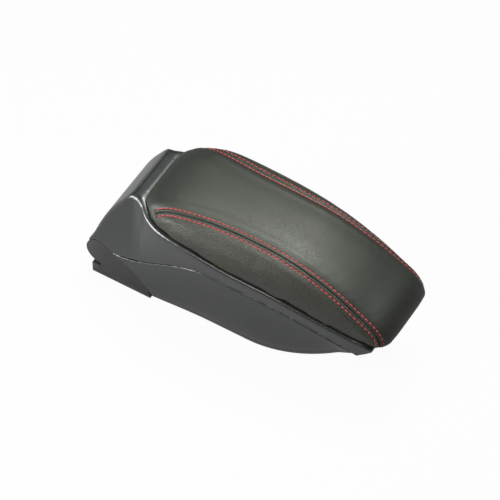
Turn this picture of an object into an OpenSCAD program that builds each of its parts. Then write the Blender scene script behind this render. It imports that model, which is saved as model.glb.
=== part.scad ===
// Folding centre armrest with a storage bin under a padded lid.
// The foot bolts to the seat frame, the bin swings up about the hub, and the lid
// opens about the same hub. X runs from the hub to the nose, Z is up.

/* [Overall] */
// Distance from the pivot axis to the tip of the nose
nose_x = 314; // [306:1:330]
// Height of the pivot axis above the underside
pivot_z = 34.2; // [32:0.2:38]
// Distance from the pivot axis forward to the middle of the bolt pattern
foot_mid = 22; // [20:0.5:24]
// Half width across the hub
hub_hw = 41; // [38:0.5:45]
// Half width of the flat underside of the bin
keel_hw = 41; // [38:0.5:43]
// Half width of the pad
pad_hw = 58.5; // [56:0.5:64]
// How far the pad stands out past the shells on each side
pad_over = 3.5; // [2:0.25:5]

/* [Heights] */
// Height of the parting line at the hub
part_lo = 45.6; // [44:0.2:48]
// Height of the parting line along the middle
part_hi = 99.5; // [96:0.5:104]
// Height of the parting line under the nose
part_front = 73; // [68:1:80]
// Height of the crown of the pad
crown_z = 162.5; // [156:0.5:172]
// Height of the pad's border at its rear corners
border_rear = 137; // [133:1:142]
// Height of the pad's border above the parting line half way along
border_up = 18.5; // [16:0.5:22]
// Height of the tip of the nose
nose_z = 104; // [100:1:112]

/* [Lengths] */
// Where the pad begins, ahead of the pivot axis
pad_x0 = 44; // [38:1:52]
// Where the flat underside ends and the bin begins to sweep up
keel_x = 163; // [140:1:180]
// Where the underside of the bin meets the parting line
chin_x = 283; // [275:1:288]
// Where the parting line begins to climb
rise_x0 = 10; // [6:0.5:16]
// Where the parting line has finished climbing
rise_x1 = 128; // [110:1:145]
// Front end of the trim
trim_x1 = 298; // [294:1:301]

/* [Foot] */
// Radius of the round hub
hub_r = 17; // [16:0.25:18]
// Rear face of the foot, behind the pivot axis
foot_rear = 11.4; // [10:0.2:13]
// Radius of the curved front of the foot
foot_r = 46; // [44:0.5:48]
// Thickness of each cheek of the foot
cheek_t = 9.6; // [8:0.2:11]
// Height of the step at the rear of the foot, below the hub
foot_step = 12.8; // [11:0.2:14]
// Height of the foot between the cheeks
tray_z = 15; // [12:0.5:17]
// Spacing of the mounting holes along the arm
bolt_dx = 40; // [36:1:44]
// Spacing of the mounting holes across the arm
bolt_dy = 44; // [38:1:48]
// Diameter of the mounting holes
bolt_d = 6.6; // [5.5:0.1:9]
// Thickness of the steel bracket
steel_t = 3; // [2:0.25:3.5]
// Diameter of the pivot shaft
shaft_d = 10; // [8:0.5:12]

/* [Shells] */
// Wall of the moulded shells
wall = 3; // [2:0.25:4]
// Wall of the inner bin
liner_t = 2; // [1.5:0.25:2.5]
// Thickness of the boards in the lid
board_t = 3.5; // [3:0.25:5]
// Thickness of the padded leather
cover_t = 3; // [2:0.25:4]
// Gap between neighbouring pieces
gap = 0.4; // [0.3:0.05:0.6]
// Radial clearance of a turning fit
run_c = 0.06; // [0.03:0.01:0.1]

/* [Pad seams] */
// Half distance between the seams half way along
seam_mid = 36.5; // [32:0.5:42]
// Half distance between the seams where they leave the pad at the back
seam_rear = 49; // [46:0.5:52]
// Half distance between the seams at the nose
seam_nose = 40; // [38:0.5:42]
// Fullness of the crown across the pad, 2 for an ellipse and more for a squarer one
crown_n = 3.1; // [2.4:0.1:3.6]
// Width of the valley along each seam
seam_gap = 1; // [0.6:0.1:1.6]

/* [Latch] */
// Width of the release lever
lever_w = 42; // [36:1:46]
// Diameter of the latch pin
pin_d = 4; // [3:0.5:5]

/* [Hidden] */
$fn = 48;

// Rear slope of the lid, from its lower edge up to the rim behind the pad
rim_w = 10;
body_hw = pad_hw - pad_over;
border_mid = part_hi + border_up;
rear_lo = [-9.5, pivot_z + 21.4];
rear_hi = [pad_x0 - rim_w, border_rear + 1.5];
pad_l = nose_x - pad_x0;
// Centre of the arc at the front of the foot
foot_c = [8.65, -4.8];

// Curves
function clamp(v, a, b) = min(max(v, a), b);
function mix(a, b, t) = a + (b - a) * t;
function ease(t) = let (c = clamp(t, 0, 1)) c * c * (3 - 2 * c);
// Smooth curve through the points [x, value] of a list
function seg(p, x, i = 0) = (i >= len(p) - 2 || x < p[i + 1][0]) ? i : seg(p, x, i + 1);
function slope(p, i) = let (a = max(i - 1, 0), b = min(i + 1, len(p) - 1))
  (p[b][1] - p[a][1]) / (p[b][0] - p[a][0]);
function curve(p, x) = let (i = seg(p, x), h = p[i + 1][0] - p[i][0],
  t = clamp((x - p[i][0]) / h, 0, 1))
  p[i][1] * (1 + 2 * t) * (1 - t) * (1 - t) + slope(p, i) * h * t * (1 - t) * (1 - t)
  + p[i + 1][1] * t * t * (3 - 2 * t) - slope(p, i + 1) * h * t * t * (1 - t);

// Parting line between bin and lid
function part_z(x) = x < rise_x1
  ? mix(part_lo, part_hi, ease((x - rise_x0) / (rise_x1 - rise_x0)))
  : x < chin_x ? mix(part_hi, part_front, pow((x - rise_x1) / (chin_x - rise_x1), 2.2))
  : part_front + 0.9 * (x - chin_x);
function part_w(x) = x < rise_x1 ? mix(hub_hw, body_hw, pow(ease((x + 30) / (rise_x1 + 30)), 1.1))
  : body_hw * (1 - 0.24 * pow((x - rise_x1) / (nose_x - rise_x1), 1.7));
// Underside of the bin
function keel_z(x) = x < keel_x ? 0
  : part_front * pow((x - keel_x) / (chin_x - keel_x), 1.8);
function keel_w(x) = min(mix(hub_hw - 2, keel_hw, ease(x / 60)), part_w(x) - 2);
// Pad: u runs from 0 at its rear edge to 1 at the nose
function pad_u(x) = clamp((x - pad_x0) / pad_l, 0, 1);
function pad_w(x) = let (u = pad_u(x)) pad_hw * (u < 0.36 ? 1 - 0.44 * pow(1 - u / 0.36, 3.6)
  : (1 - 0.27 * pow((u - 0.36) / 0.64, 1.6)) * (u < 0.88 ? 1
      : pow(max(0, 1 - pow((u - 0.88) / 0.12, 4)), 1 / 4)));
function pad_border(x) = curve([[0, border_rear],
  [0.06, mix(border_rear, border_mid, 0.36)], [0.22, mix(border_rear, border_mid, 0.5)],
  [0.36, mix(border_rear, border_mid, 0.77)], [0.56, border_mid - 2], [0.75, border_mid - 14],
  [0.86, border_mid - 21], [0.91, border_mid - 23.5], [0.945, border_mid - 27],
  [0.975, border_mid - 27], [1, nose_z - 5]], pad_u(x));
function pad_top(x) = curve([[0, border_rear + 2], [0.02, mix(border_rear, crown_z, 0.36)],
  [0.05, mix(border_rear, crown_z, 0.63)], [0.09, mix(border_rear, crown_z, 0.79)],
  [0.157, mix(border_rear, crown_z, 0.93)], [0.31, crown_z], [0.48, crown_z],
  [0.63, mix(nose_z, crown_z, 0.94)], [0.78, mix(nose_z, crown_z, 0.73)],
  [0.9, mix(nose_z, crown_z, 0.46)], [0.945, mix(nose_z, crown_z, 0.35)],
  [0.975, mix(nose_z, crown_z, 0.22)], [1, nose_z]], pad_u(x));
function seam_w(x) = curve([[0, seam_rear - 9], [0.04, seam_rear - 4], [0.08, seam_rear - 3.5],
    [0.157, mix(seam_rear, seam_mid, 0.5)],
  [0.31, mix(seam_rear, seam_mid, 0.88)], [0.48, seam_mid], [0.63, mix(seam_mid, seam_nose, 0.14)],
  [0.78, mix(seam_mid, seam_nose, 0.4)], [0.9, mix(seam_mid, seam_nose, 0.75)], [1, seam_nose]], pad_u(x));

// Lofts
// Closed solid through rings of points that all have the same number of points
module loft(rings) {
  n = len(rings[0]);
  m = len(rings);
  mid = function(r) [for (k = [0:2]) [for (p = r) p[k]] * [for (p = r) 1] / n];
  polyhedron(
    points = concat([for (r = rings) each r], [mid(rings[0]), mid(rings[m - 1])]),
    faces = concat(
      [for (i = [0:m - 2], j = [0:n - 1]) let (k = (j + 1) % n) [i * n + j, i * n + k, (i + 1) * n + j]],
      [for (i = [0:m - 2], j = [0:n - 1]) let (k = (j + 1) % n) [i * n + k, (i + 1) * n + k,
          (i + 1) * n + j]],
      [for (j = [0:n - 1]) [m * n, (j + 1) % n, j]],
      [for (j = [0:n - 1]) [m * n + 1, (m - 1) * n + j, (m - 1) * n + (j + 1) % n]]));
}
// Whole ring at x from the half outline [y, z] that runs from the bottom to the top
function ring(x, half) = concat([for (p = half) [x, -p[0], p[1]]],
  [for (i = [len(half) - 2:-1:1]) [x, half[i][0], half[i][1]]]);
// Merges a shell's pieces into one mesh
module one_mesh() { resize([0, 0, 0]) children(); }
// Side outline drawn in X and Z, extruded across the arm
module across(hw, y0 = undef) {
  translate([0, is_undef(y0) ? hw : y0 + hw, 0]) rotate([90, 0, 0])
      linear_extrude(is_undef(y0) ? 2 * hw : hw)
    children();
}
// Round bar across the arm
module bar(x, z, d, y0, y1) {
  translate([x, y1, z]) rotate([90, 0, 0]) cylinder(d = d, h = y1 - y0);
}

// Half outline of the bin at x, inset by d, with its top raised by up
function bin_half(x, d, up) = let (zb = keel_z(x) + d, zt = max(part_z(x), zb + 0.8),
  wt = max(part_w(x) - d, 1), wb = clamp(keel_w(x) - d, 0.6, wt),
      r = min(mix(5, 14, ease((x - 30) / 90)) - 0.6 * d, 0.45 * (zt - zb), wb * 0.8))
  concat([[0, zb], [0.5 * (wb - r), zb]],
    [for (a = [0:22.5:90]) [wb - r + r * sin(a), zb + r * (1 - cos(a))]],
    [for (t = [0.25, 0.5, 0.75, 1]) [mix(wb, wt, pow(t, 0.8)), mix(zb + r, zt, t)]],
    up > 0 ? [[wt, zt + up], [0, zt + up]] : [[0, zt]]);
// Stations along the arm shared by the bin and the trim
body_x = concat([-14, 0, 12, 24, 34], [for (t = [0:0.09:0.95]) mix(pad_x0, rise_x1, t)],
  [for (t = [0:0.1:0.96]) mix(rise_x1, chin_x, t)], [chin_x - 6]);
module bin_form(d = 0, up = 0, x1 = chin_x - 1) {
  loft([for (x = concat([for (v = body_x) if (v < x1 - 2) v], [x1])) ring(x, bin_half(x, d, up))]);
}
// Side outline of the foot, grown by g
module foot_outline(g = 0) {
  translate([0, pivot_z]) circle(r = hub_r + g, $fn = 96);
  difference() {
    intersection() {
      translate(foot_c) circle(r = foot_r + g, $fn = 160);
      translate([-foot_rear - g, -5]) square([90, 60]);
    }
    // Room behind the hub for the lid's lower edge when arm and lid are both raised
    translate([-101.5 - g, foot_step + g]) square([100, 100]);
  }
}

// Half width of the trim along its upper edge: a rim behind the pad that fades along its sides
function rim_hw(x) = max(pad_w(x) + 5 * (1 - ease((x - pad_x0) / (0.2 * pad_l))),
    hub_hw - 1.5 + 0.03 * (x - rear_lo[0]));
// Half outline of the trim at x, inset by d, its top lowered by down and its bottom by open;
// ahead of the bin the underside is closed
function trim_half(x, d, down, open) = let (zb = part_z(x) + gap + (x > chin_x - 1 ? d : -open),
    zt = max(pad_border(x) - down, zb + 0.5),
  wb = part_w(x) - d, wt = (x < pad_x0 + 0.5 * pad_l ? rim_hw(x) : pad_w(x)) - d,
      r = min(mix(6, 2, ease((x - pad_x0) / 60)), 0.3 * (zt - zb)))
  concat([[0, zb]], [for (t = [0, 0.25, 0.5, 0.75, 1]) [mix(wb, wt, ease(t) * 0.5 + t * 0.5),
      mix(zb, zt - r, t)]],
    [[wt - 0.3 * r, zt - 0.3 * r], [wt - r, zt], [0, zt]]);
module trim_form(d = 0, down = 0, open = 0, x1 = trim_x1) {
  loft([for (x = concat([for (v = concat(body_x, [chin_x, mix(chin_x, trim_x1, 0.5)])) if (v < x1 - 2) v],
      [x1]))
    ring(x, trim_half(x, d, down, open))]);
}
// Plan of the pad, inset by g
module pad_plan(g, x1 = nose_x - 8) {
  xs = [for (f = [0, 0.012, 0.03, 0.06, 0.1, 0.15, 0.22, 0.3, 0.4, 0.5, 0.6, 0.7, 0.8, 0.88, 1])
      mix(pad_x0 + g, x1 - g, f)];
  linear_extrude(400) polygon(concat([for (x = xs) [x, g - pad_w(x)]],
    [for (i = [len(xs) - 1:-1:0]) [xs[i], pad_w(xs[i]) - g]]));
}
// Everything ahead of the sloping rear of the lid, moved forward by d
module ahead(d = 0) {
  v = rear_hi - rear_lo;
  n = [v[1], -v[0]] / norm(v) * d;
  r = 8;
  translate(n) hull() {
    translate(rear_hi + [r * 0.62, -r]) circle(r = r);
    polygon([rear_lo - 3 * v, rear_lo, [500, rear_hi[1]], [500, -120]]);
  }
}

// Half outline of the pad at x, inset by d; open lowers its underside behind the nose
function pad_half(x, d, open) = let (w = max(pad_w(x) - d, 0.8),
  zb = pad_border(x) + gap + (x > trim_x1 ? d : 0), drop = x > trim_x1 ? 0.2 : max(open, 0.2),
  zt = max(pad_top(x) - d, zb + 0.5), n = crown_n)
  concat([[0, zb - drop], [0.5 * w, zb - drop], [w, zb - drop]],
    [for (a = [0, 4, 10, 18, 27, 37, 48, 60, 74, 90]) [w * pow(cos(a), 2 / n),
        zb + (zt - zb) * pow(sin(a), 2 / n)]]);
pad_f = [0, 0.006, 0.016, 0.03, 0.05, 0.08, 0.12, 0.18, 0.26, 0.35, 0.44, 0.53, 0.62, 0.7, 0.77, 0.83, 0.88,
  0.915, 0.945, 0.966, 0.981, 0.991, 0.998];
module pad_form(d = 0, open = 0) {
  x0 = pad_x0 + d;
  x1 = nose_x - max(d, 0.3);
  loft([for (x = concat([x0], [for (f = pad_f) let (v = mix(pad_x0, nose_x, f))
      if (v > x0 + 0.4 && v < x1 - 0.4) v], [x1]))
    ring(x, pad_half(x, d, open))]);
}
// Plan of the centre panel, between the two seams
module between_seams(g) {
  linear_extrude(400) polygon(concat(
    [for (f = [0:0.05:1.001]) let (x = mix(pad_x0, nose_x, f)) [x, -seam_w(x) - g]],
    [[nose_x + 20, -seam_nose - g], [nose_x + 20, seam_nose + g]],
    [for (f = [1:-0.05:-0.001]) let (x = mix(pad_x0, nose_x, f)) [x, seam_w(x) + g]],
    [[pad_x0 - 20, seam_rear + g], [pad_x0 - 20, -seam_rear - g]]));
}

// Layout of the hinge across the arm
cheek_y = hub_hw - cheek_t;
ear_y = cheek_y - gap - steel_t;
washer_t = 1;
arm_y = ear_y - washer_t - 2 * gap;
arm_t = 4;
strap_y = arm_y - arm_t - gap - steel_t;
knuckle_hw = strap_y - gap;

// Moulded foot: two cheeks with the round hub, a low tray between them
module base_cover() color([0.1, 0.1, 0.11]) difference() {
  across(hub_hw) intersection() {
    foot_outline();
    translate([-60, 0]) square([200, 100]);
  }
  // Room for the hinge between the cheeks
  across(cheek_y) translate([-40, tray_z]) square([120, 80]);
  // Pocket for the bracket's plate and slots for its ears
  translate([foot_mid - 26, -cheek_y + 2, -1]) cube([52, 2 * cheek_y - 4, steel_t + 1 + gap]);
  for (s = [-1, 1]) translate([-9, s * (ear_y + steel_t / 2) - steel_t / 2 - gap, -1])
      cube([30, steel_t + 2 * gap, 40]);
  // Bolt access from above
  for (x = [-1, 1], y = [-1, 1]) translate([foot_mid + x * bolt_dx / 2, y * bolt_dy / 2, -1])
      cylinder(d = bolt_d + 8, h = 60);
  // Blind seats for the shaft
  bar(0, pivot_z, shaft_d + 2 * run_c, -hub_hw + wall, hub_hw - wall);
}
// Steel bracket: plate with four holes and two ears for the shaft
module base_bracket() color([0.45, 0.46, 0.48]) difference() {
  union() {
    translate([foot_mid - 25.6, -cheek_y + 2.4, 0]) cube([51.2, 2 * cheek_y - 4.8, steel_t]);
    for (y = [-ear_y - steel_t, ear_y]) across(steel_t, y) hull() {
      translate([7, 0]) square([13, steel_t]);
      translate([0, pivot_z]) circle(d = shaft_d + 8);
    }
  }
  for (x = [-1, 1], y = [-1, 1]) translate([foot_mid + x * bolt_dx / 2, y * bolt_dy / 2, -1])
      cylinder(d = bolt_d, h = 2 + steel_t);
  bar(0, pivot_z, shaft_d + 2 * run_c, -hub_hw, hub_hw);
}
// Pivot shaft, trapped between the blind seats of the cheeks
module pivot_shaft() color([0.7, 0.7, 0.72]) bar(0, pivot_z, shaft_d, -hub_hw + wall + gap,
    hub_hw - wall - gap);
// Friction washers between the bracket's ears and the hinge arm
module friction_washers() color([0.75, 0.7, 0.5]) for (s = [-1, 1]) difference() {
  bar(0, pivot_z, shaft_d + 8, s * (arm_y + gap + washer_t / 2) - washer_t / 2,
      s * (arm_y + gap + washer_t / 2) + washer_t / 2);
  bar(0, pivot_z, shaft_d + 2 * run_c, -hub_hw, hub_hw);
}

// Cast hinge arm: a knuckle and two outer ears on the shaft, a bridge and a plate behind the bin
arm_x0 = hub_r + 1;
arm_z = [pivot_z - 8, pivot_z + 5.5];
screw_at = [for (y = [-1, 1], z = [-1, 1]) [y * (arm_y - 6.2), pivot_z + 5 + z * 11]];
core_pitch = arm_y / 2.15;
module hinge_arm() color([0.5, 0.51, 0.52]) difference() {
  union() {
    bar(0, pivot_z, 2 * (shaft_d / 2 + 6), -knuckle_hw, knuckle_hw);
    for (y = [-arm_y, arm_y - arm_t]) {
      bar(0, pivot_z, 2 * (shaft_d / 2 + 6), y, y + arm_t);
      translate([0, y, arm_z[0]]) cube([arm_x0 + 2, arm_t, arm_z[1] - arm_z[0]]);
    }
    translate([0, -knuckle_hw, arm_z[0]]) cube([arm_x0 + 2, 2 * knuckle_hw, arm_z[1] - arm_z[0]]);
    translate([arm_x0, -arm_y, arm_z[0]]) cube([liner_x0 - gap - arm_x0 - 1, 2 * arm_y,
        arm_z[1] - arm_z[0]]);
    translate([liner_x0 - gap - 4, -arm_y, pivot_z - 12]) cube([4, 2 * arm_y, 34]);
  }
  bar(0, pivot_z, shaft_d + 2 * run_c, -hub_hw, hub_hw);
  // Cored underside of the bridge, with three ribs left standing
  for (i = [-1.5:1:1.5]) translate([arm_x0 + 3, (i - 0.5) * core_pitch + 1.3, arm_z[0] - 1])
    cube([liner_x0 - arm_x0 - 13, core_pitch - 2.6, arm_z[1] - arm_z[0] - 3]);
  for (p = screw_at) translate([liner_x0 - 12, p[0], p[1]]) rotate([0, 90, 0]) cylinder(d = 4.8, h = 20);
}
// Moulded bin with a curved rear wall that clears the foot, and a window for the hinge arm
module bin_shell() color([0.16, 0.16, 0.17]) one_mesh() difference() {
  bin_form();
  difference() {
    bin_form(wall, 6, chin_x - 6);
    across(80) foot_outline(gap + wall);
  }
  across(80) foot_outline(gap);
  translate([-50, -100, -10]) cube([52, 200, 200]);
  across(arm_y + gap) translate([0, pivot_z - 13]) square([liner_x0, 19.5]);
  across(strap_y + steel_t + gap) translate([0, pivot_z]) square([pad_x0 - 18, 20]);
}
// Inner bin
liner_x0 = 68;
liner_x1 = chin_x - 15;
module bin_liner() color([0.09, 0.09, 0.09]) one_mesh() difference() {
  intersection() { bin_form(wall + gap); translate([liner_x0, -100, 0])
      cube([liner_x1 - liner_x0, 200, 200]); }
  intersection() {
    bin_form(wall + gap + liner_t, 6);
    translate([liner_x0 + liner_t, -100, 0]) cube([liner_x1 - liner_x0 - 2 * liner_t, 200, 200]);
  }
  for (p = screw_at) translate([liner_x0 - 2, p[0], p[1]]) rotate([0, 90, 0])
      cylinder(d = 4.8, h = 10, $fn = 16);
}
floor_z = wall + gap + liner_t;
// Mat on the floor of the inner bin
module bin_mat() color([0.2, 0.2, 0.21]) hull() for (x = [liner_x0 + liner_t + 8, keel_x - 12], y = [-1, 1])
  translate([x, y * (keel_hw - 23), floor_z]) cylinder(r = 6, h = 2, $fn = 32);
// Screws that hold the hinge arm to the inner bin
module arm_screws() color([0.6, 0.6, 0.62]) for (p = screw_at) translate([liner_x0 - 4, p[0], p[1]])
    rotate([0, 90, 0]) {
  cylinder(d = 4, h = 4 + liner_t);
  translate([0, 0, 4 + liner_t]) cylinder(d = 9, h = 2.4);
}

// Latch
strike_x = chin_x - 33;
strike_z = 69;
function board_top(x) = part_z(x) + gap + board_t;
pin_x = strike_x + 7;
pin_z = board_top(pin_x) + 4.5;
// Striker inside the front of the bin: a plate, two lugs and a round bar
module striker() color([0.65, 0.66, 0.68]) {
  x1 = liner_x1 - liner_t;
  translate([x1 - 1.6, -16, strike_z - 7]) cube([1.6, 32, 14]);
  for (y = [-12, 9]) translate([strike_x - 2, y, strike_z - 3]) cube([x1 - strike_x + 1, 3, 6]);
  bar(strike_x, strike_z, 4, -10, 10);
}
// Release lever: hook behind the striker's bar, boss on the pin, tab under the nose
tab_x = [chin_x + 3, trim_x1 - 1];
module latch_lever() color([0.13, 0.13, 0.14]) difference() {
  union() {
    across(7) hull() {
      translate([pin_x, pin_z]) circle(d = pin_d + 6);
      translate([strike_x + 3, strike_z - 5]) square([3.6, 3]);
    }
    across(7) translate([strike_x - 0.2, strike_z - 5.6]) square([6.6, 2.8]);
    across(7) hull() {
      translate([pin_x, pin_z]) circle(d = 6);
      translate([tab_x[0] + 2, part_front + 11]) circle(d = 4);
    }
    across(lever_w / 2) hull() {
      translate([tab_x[0] + 2, part_front + 11]) circle(d = 4);
      translate([tab_x[1] - 2, part_front + 13]) circle(d = 3);
    }
    across(lever_w / 2) hull() {
      translate([tab_x[0] + 2, part_front + 11]) circle(d = 4);
      translate([tab_x[0] + 3, part_front + 5]) circle(d = 3);
    }
  }
  bar(pin_x, pin_z, pin_d + 2 * run_c, -hub_hw, hub_hw);
}
module latch_pin() color([0.7, 0.7, 0.72]) bar(pin_x, pin_z, pin_d, -16, 16);
// Return springs coiled on the pin, one on each side of the lever
module latch_springs() color([0.7, 0.7, 0.72]) for (y = [-11.4, 7.6]) difference() {
  bar(pin_x, pin_z, pin_d + 3.6, y, y + 3.8);
  bar(pin_x, pin_z, pin_d + 0.8, -hub_hw, hub_hw);
}
module latch_housing() color([0.2, 0.2, 0.2]) difference() {
  for (y = [-15.2, 12.2]) across(3, y) polygon([[pin_x - 9, board_top(pin_x - 9) + 0.3],
      [pin_x + 9, board_top(pin_x + 9) + 0.3],
    [pin_x + 7, pin_z + 5], [pin_x - 7, pin_z + 5]]);
  bar(pin_x, pin_z, pin_d + 2 * run_c, -hub_hw, hub_hw);
}

// Lid
// Moulded trim: open ring with the sloping panel at its rear and a ledge under the pad
module lid_trim() color([0.2, 0.21, 0.2]) one_mesh() difference() {
  intersection() { trim_form(); across(80) ahead(); }
  intersection() { trim_form(wall, wall, 8, trim_x1 - 3); across(80) ahead(wall); }
  intersection() { pad_plan(3.5, trim_x1 + 2); translate([0, -100, 84]) cube([trim_x1 - 5, 200, 100]); }
  across(80) translate([0, pivot_z]) circle(r = hub_r + gap, $fn = 96);
  // Notch for the lever's tab
  translate([tab_x[0] - 1.5, -lever_w / 2 - 1, 60]) cube([40, lever_w + 2, 60]);
}
// Half outline of a board that follows a height line z, t thick and w wide
function board_half(z, t, w) = [[0, z], [w, z], [w, z + t], [0, z + t]];
board_x = [for (v = body_x) if (v > 24) v];
// Inner panel that closes the lid from below
module lid_board() color([0.12, 0.12, 0.12]) one_mesh() difference() {
  loft([for (x = board_x) ring(x, board_half(part_z(x) + gap, board_t, part_w(x) - wall - gap - 0.4))]);
  translate([strike_x - 9, -9, 50]) cube([chin_x + 10 - strike_x, 18, 60]);
}
// Board under the foam, inside the ledge of the trim
module pad_board() color([0.5, 0.4, 0.3]) loft([for (x = concat([pad_x0 + 4],
  [for (f = pad_f) let (v = mix(pad_x0, nose_x, f)) if (v > pad_x0 + 5 && v < chin_x - 3) v], [chin_x - 2]))
  ring(x, board_half(pad_border(x) - board_t, board_t, pad_w(x) - 4.2))]);
module pad_foam() color([0.75, 0.72, 0.6]) pad_form(cover_t + gap);

hinge_y = strap_y + 9.2;
// Hinge bracket of the lid: two straps on the shaft and a plate behind the sloping panel
v_rear = rear_hi - rear_lo;
n_rear = [v_rear[1], -v_rear[0]] / norm(v_rear);
function behind(t, d) = rear_lo + t * v_rear + n_rear * d;
module lid_hinge() color([0.45, 0.46, 0.48]) difference() {
  union() {
    for (y = [-strap_y - steel_t, strap_y]) across(steel_t, y) {
      hull() {
        translate([0, pivot_z]) circle(d = shaft_d + 12);
        translate(behind(0.3, wall + 8)) circle(r = 6);
      }
      hull() {
        translate(behind(0.3, wall + 8)) circle(r = 6);
        translate(behind(0.75, wall + 6)) circle(r = 4);
      }
    }
    across(hinge_y + 5) hull() {
      for (t = [0.22, 0.8]) translate(behind(t, wall + gap + 1.3)) circle(d = 2.4);
    }
  }
  bar(0, pivot_z, shaft_d + 2 * run_c, -hub_hw, hub_hw);
  for (t = [0.34, 0.68], y = [-hinge_y, hinge_y]) translate([behind(t, wall)[0], y, behind(t, wall)[1]])
    rotate([0, 90 - atan2(n_rear[1], n_rear[0]), 0]) cylinder(d = 4.8, h = 10);
}
module hinge_screws() color([0.6, 0.6, 0.62]) for (t = [0.34, 0.68], y = [-hinge_y, hinge_y])
  translate([behind(t, wall + 0.2)[0], y, behind(t, wall + 0.2)[1]])
      rotate([0, 90 - atan2(n_rear[1], n_rear[0]), 0]) {
    cylinder(d = 4, h = gap + 2.4);
    translate([0, 0, gap + 2.4]) cylinder(d = 9, h = 2.2);
  }

// Leather
module cover_centre() color([0.12, 0.12, 0.12]) one_mesh() intersection() {
  difference() { pad_form(); pad_form(cover_t, 6); }
  between_seams(-seam_gap / 2);
}
module cover_side(s) one_mesh() intersection() {
  difference() { pad_form(); pad_form(cover_t, 6); between_seams(seam_gap / 2); }
  translate([0, s > 0 ? 0 : -200, 0]) cube([500, 200, 400]);
}
module cover_left() color([0.14, 0.14, 0.13]) cover_side(1);
module cover_right() color([0.14, 0.14, 0.13]) cover_side(-1);

module at_foot() { translate([-foot_mid, 0, 0]) children(); }
at_foot() base_cover();
at_foot() base_bracket();
at_foot() pivot_shaft();
at_foot() friction_washers();
at_foot() hinge_arm();
at_foot() bin_shell();
at_foot() bin_liner();
at_foot() bin_mat();
at_foot() arm_screws();
at_foot() striker();
at_foot() lid_trim();
at_foot() lid_board();
at_foot() lid_hinge();
at_foot() hinge_screws();
at_foot() pad_board();
at_foot() pad_foam();
at_foot() cover_centre();
at_foot() cover_left();
at_foot() cover_right();
at_foot() latch_housing();
at_foot() latch_pin();
at_foot() latch_springs();
at_foot() latch_lever();
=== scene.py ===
"""Folding centre armrest: padded leather lid over a storage bin, on a fixed foot with a round hub."""
import math

import bmesh
import bpy
import numpy as np
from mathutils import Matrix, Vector
from mathutils.bvhtree import BVHTree


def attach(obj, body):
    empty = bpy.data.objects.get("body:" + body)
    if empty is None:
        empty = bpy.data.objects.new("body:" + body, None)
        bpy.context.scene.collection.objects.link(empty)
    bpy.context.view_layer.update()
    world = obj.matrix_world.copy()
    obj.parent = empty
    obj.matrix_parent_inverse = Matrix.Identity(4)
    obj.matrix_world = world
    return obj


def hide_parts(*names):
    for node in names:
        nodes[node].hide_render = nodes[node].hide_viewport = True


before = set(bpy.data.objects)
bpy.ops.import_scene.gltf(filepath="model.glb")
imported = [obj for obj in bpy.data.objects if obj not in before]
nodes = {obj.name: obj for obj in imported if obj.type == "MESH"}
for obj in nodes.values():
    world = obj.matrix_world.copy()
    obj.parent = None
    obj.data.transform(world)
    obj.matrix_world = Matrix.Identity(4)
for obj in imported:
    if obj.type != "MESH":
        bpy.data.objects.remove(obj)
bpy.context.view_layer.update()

MM = 0.001

# Measures of the armrest in millimetres from the pivot axis, the same as in the part's source
NOSE_X, PIVOT_Z, FOOT_MID = 314.0, 34.2, 22.0
HUB_HW, BODY_HW, KEEL_HW, PAD_HW = 41.0, 55.0, 41.0, 58.5
PART_LO, PART_HI, PART_FRONT = 45.6, 99.5, 73.0
CROWN_Z, BORDER_REAR, BORDER_MID, NOSE_Z = 162.5, 137.0, 118.0, 104.0
PAD_X0, KEEL_X, CHIN_X, TRIM_X1 = 44.0, 163.0, 283.0, 298.0
RISE_X0, RISE_X1 = 10.0, 128.0
HUB_R, FOOT_R = 17.0, 46.0
FOOT_C = (8.65, -4.8)
WALL, GAP = 3.0, 0.4
SEAM_MID, SEAM_REAR, SEAM_NOSE = 36.5, 49.0, 40.0
CROWN_N = 3.1
REAR_LO = (-9.5, PIVOT_Z + 21.4)
REAR_HI = (PAD_X0 - 10.0, BORDER_REAR + 1.5)
PAD_L = NOSE_X - PAD_X0
REAR_BOW = 4.5  # the rear panel swells out half way up
REAR_NARROW = 6.0  # on each side, towards the rear panel's rounded top corners
LEVER_W, ARM_HALF, STRAP_HALF = 42.0, 26.6, 22.2
ACROSS = 90.0  # half length of the cutting plates, past both sides of the arm


# Curves that shape the shells and the pad

def clamp(v, a, b):
    return min(max(v, a), b)


def mix(a, b, t):
    return a + (b - a) * t


def ease(t):
    t = clamp(t, 0.0, 1.0)
    return t * t * (3 - 2 * t)


def curve(points, x):
    """Smooth curve through points (x, value)."""
    last = len(points) - 1
    i = 0
    while i < last - 1 and x >= points[i + 1][0]:
        i += 1

    def slope(k):
        a, b = max(k - 1, 0), min(k + 1, last)
        return (points[b][1] - points[a][1]) / (points[b][0] - points[a][0])

    h = points[i + 1][0] - points[i][0]
    t = clamp((x - points[i][0]) / h, 0.0, 1.0)
    return (points[i][1] * (1 + 2 * t) * (1 - t) ** 2 + slope(i) * h * t * (1 - t) ** 2
            + points[i + 1][1] * t * t * (3 - 2 * t) - slope(i + 1) * h * t * t * (1 - t))


def part_z(x):
    """Height of the parting line between the bin and the lid."""
    if x < RISE_X1:
        return mix(PART_LO, PART_HI, ease((x - RISE_X0) / (RISE_X1 - RISE_X0)))
    if x < CHIN_X:
        return mix(PART_HI, PART_FRONT, ((x - RISE_X1) / (CHIN_X - RISE_X1)) ** 2.2)
    return PART_FRONT + 0.9 * (x - CHIN_X)


def part_w(x):
    """Half width of both shells at the parting line."""
    if x < RISE_X1:
        return mix(HUB_HW, BODY_HW, ease((x + 30) / (RISE_X1 + 30)) ** 1.1)
    return BODY_HW * (1 - 0.24 * ((x - RISE_X1) / (NOSE_X - RISE_X1)) ** 1.7)


def keel_z(x):
    """Height of the underside."""
    return 0.0 if x < KEEL_X else PART_FRONT * ((x - KEEL_X) / (CHIN_X - KEEL_X)) ** 1.8


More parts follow.
